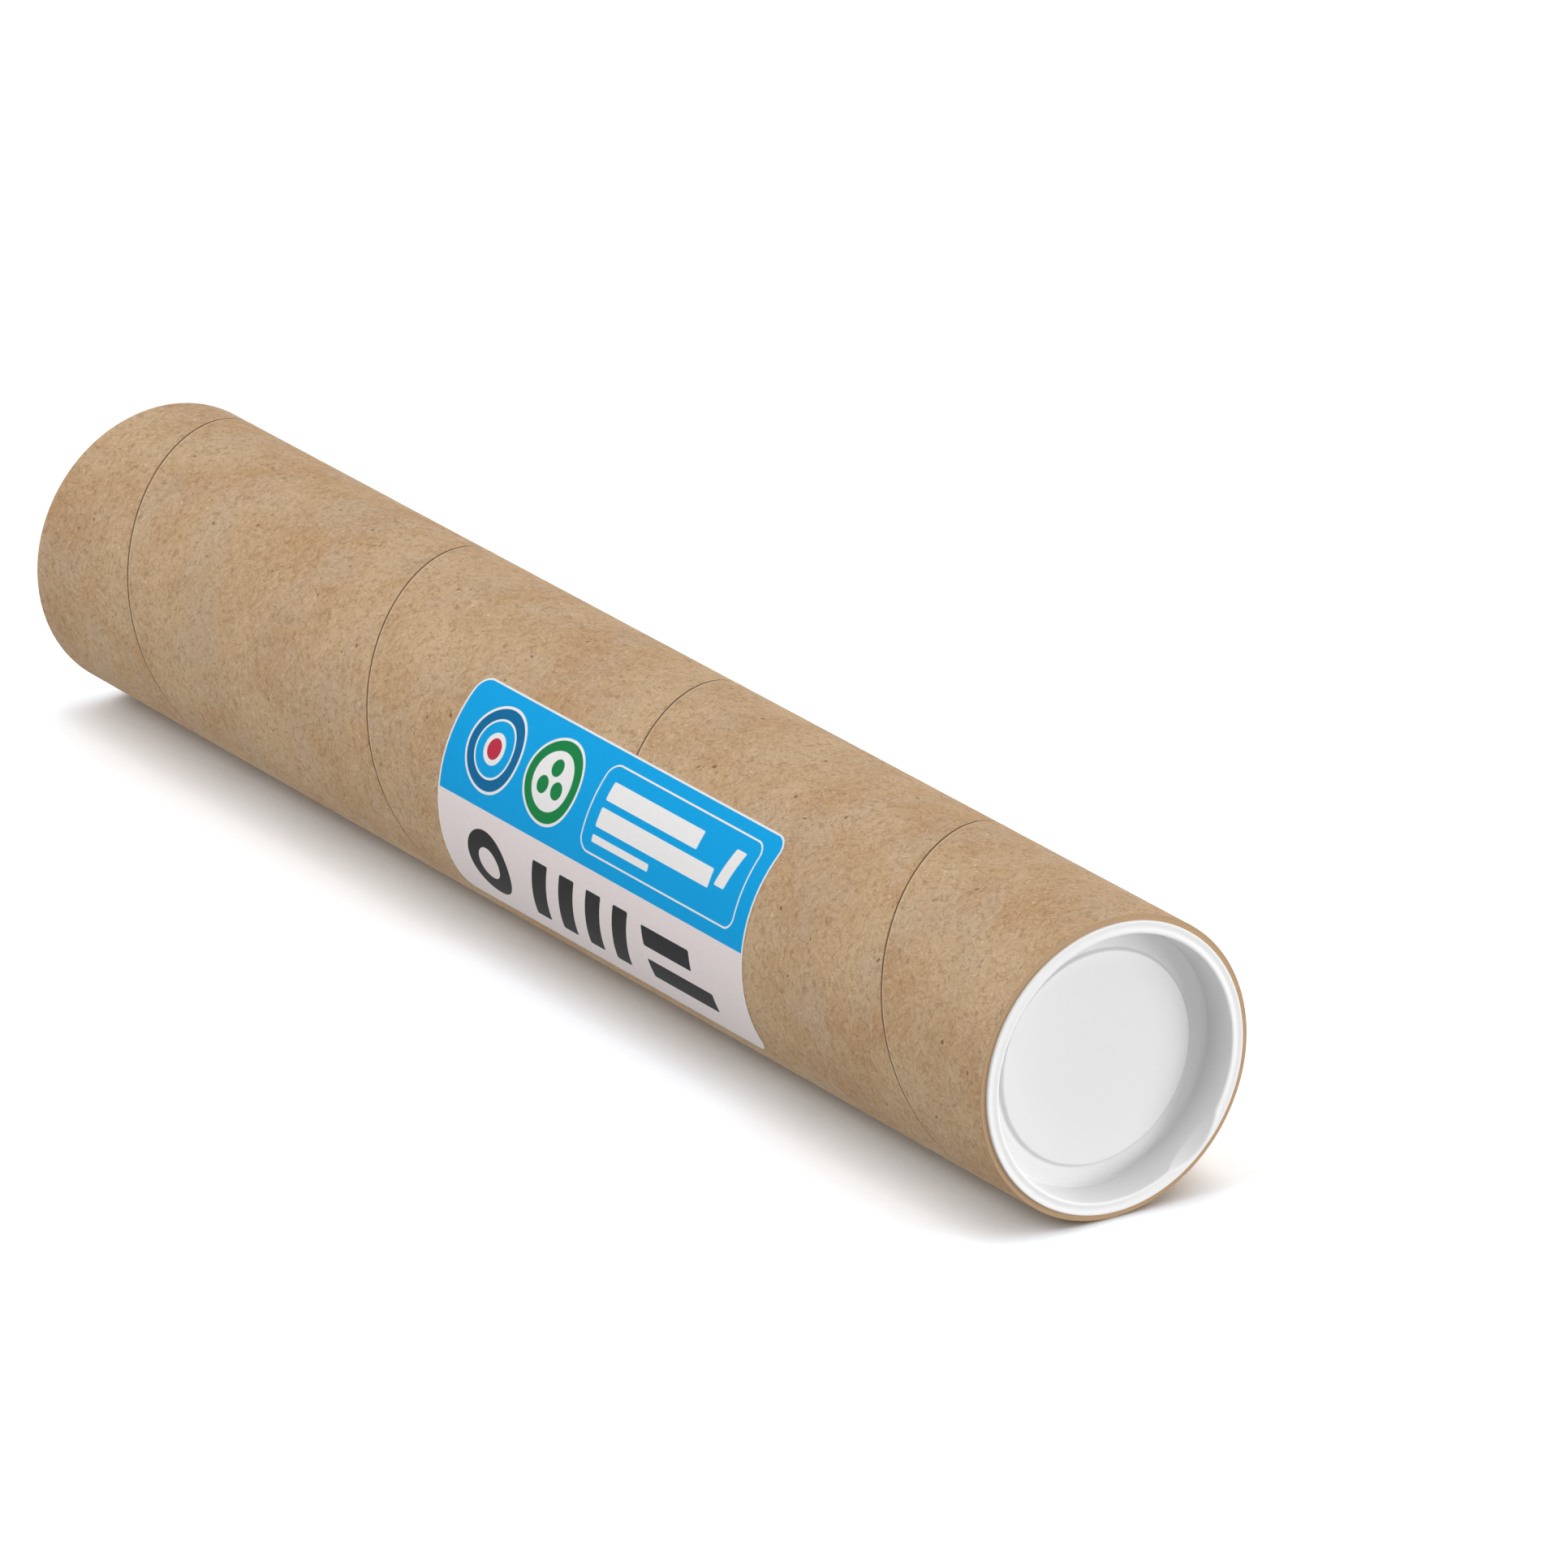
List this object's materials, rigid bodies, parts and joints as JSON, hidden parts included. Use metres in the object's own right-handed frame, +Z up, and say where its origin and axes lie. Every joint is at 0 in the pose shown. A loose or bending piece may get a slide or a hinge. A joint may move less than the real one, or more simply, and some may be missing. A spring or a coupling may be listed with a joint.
{
  "type": "cardboard mailing tube",
  "caption": "Spiral-wound kraft cardboard mailing tube with white push-in plastic end caps and a plain printed paper label.",
  "frame": {"origin": "centre of the lower end cap's lip face, on which the tube stands", "axes": "+Z up the tube's axis, -Y the side that carries the label"},
  "size_m": [0.0802, 0.0804, 0.4535],
  "materials": {
    "kraft_board": "matt brown kraft paper with short fibres",
    "white_plastic": "satin moulded low-density polyethylene",
    "label_paper": "coated label paper, half blue and half off-white"
  },
  "bodies": {
    "tube": {"kraft_tube": "kraft_board", "paper_label": "label_paper"},
    "top_cap": {"top_end_cap": "white_plastic"},
    "bottom_cap": {"bottom_end_cap": "white_plastic"}
  },
  "joints": [
    {"name": "top_cap_pull", "type": "slide", "parent": "tube", "child": "top_cap", "axis": [0, 0, 1], "range_m": [0, 0.1]},
    {"name": "bottom_cap_pull", "type": "slide", "parent": "tube", "child": "bottom_cap", "axis": [0, 0, -1], "range_m": [0, 0.1]}
  ]
}
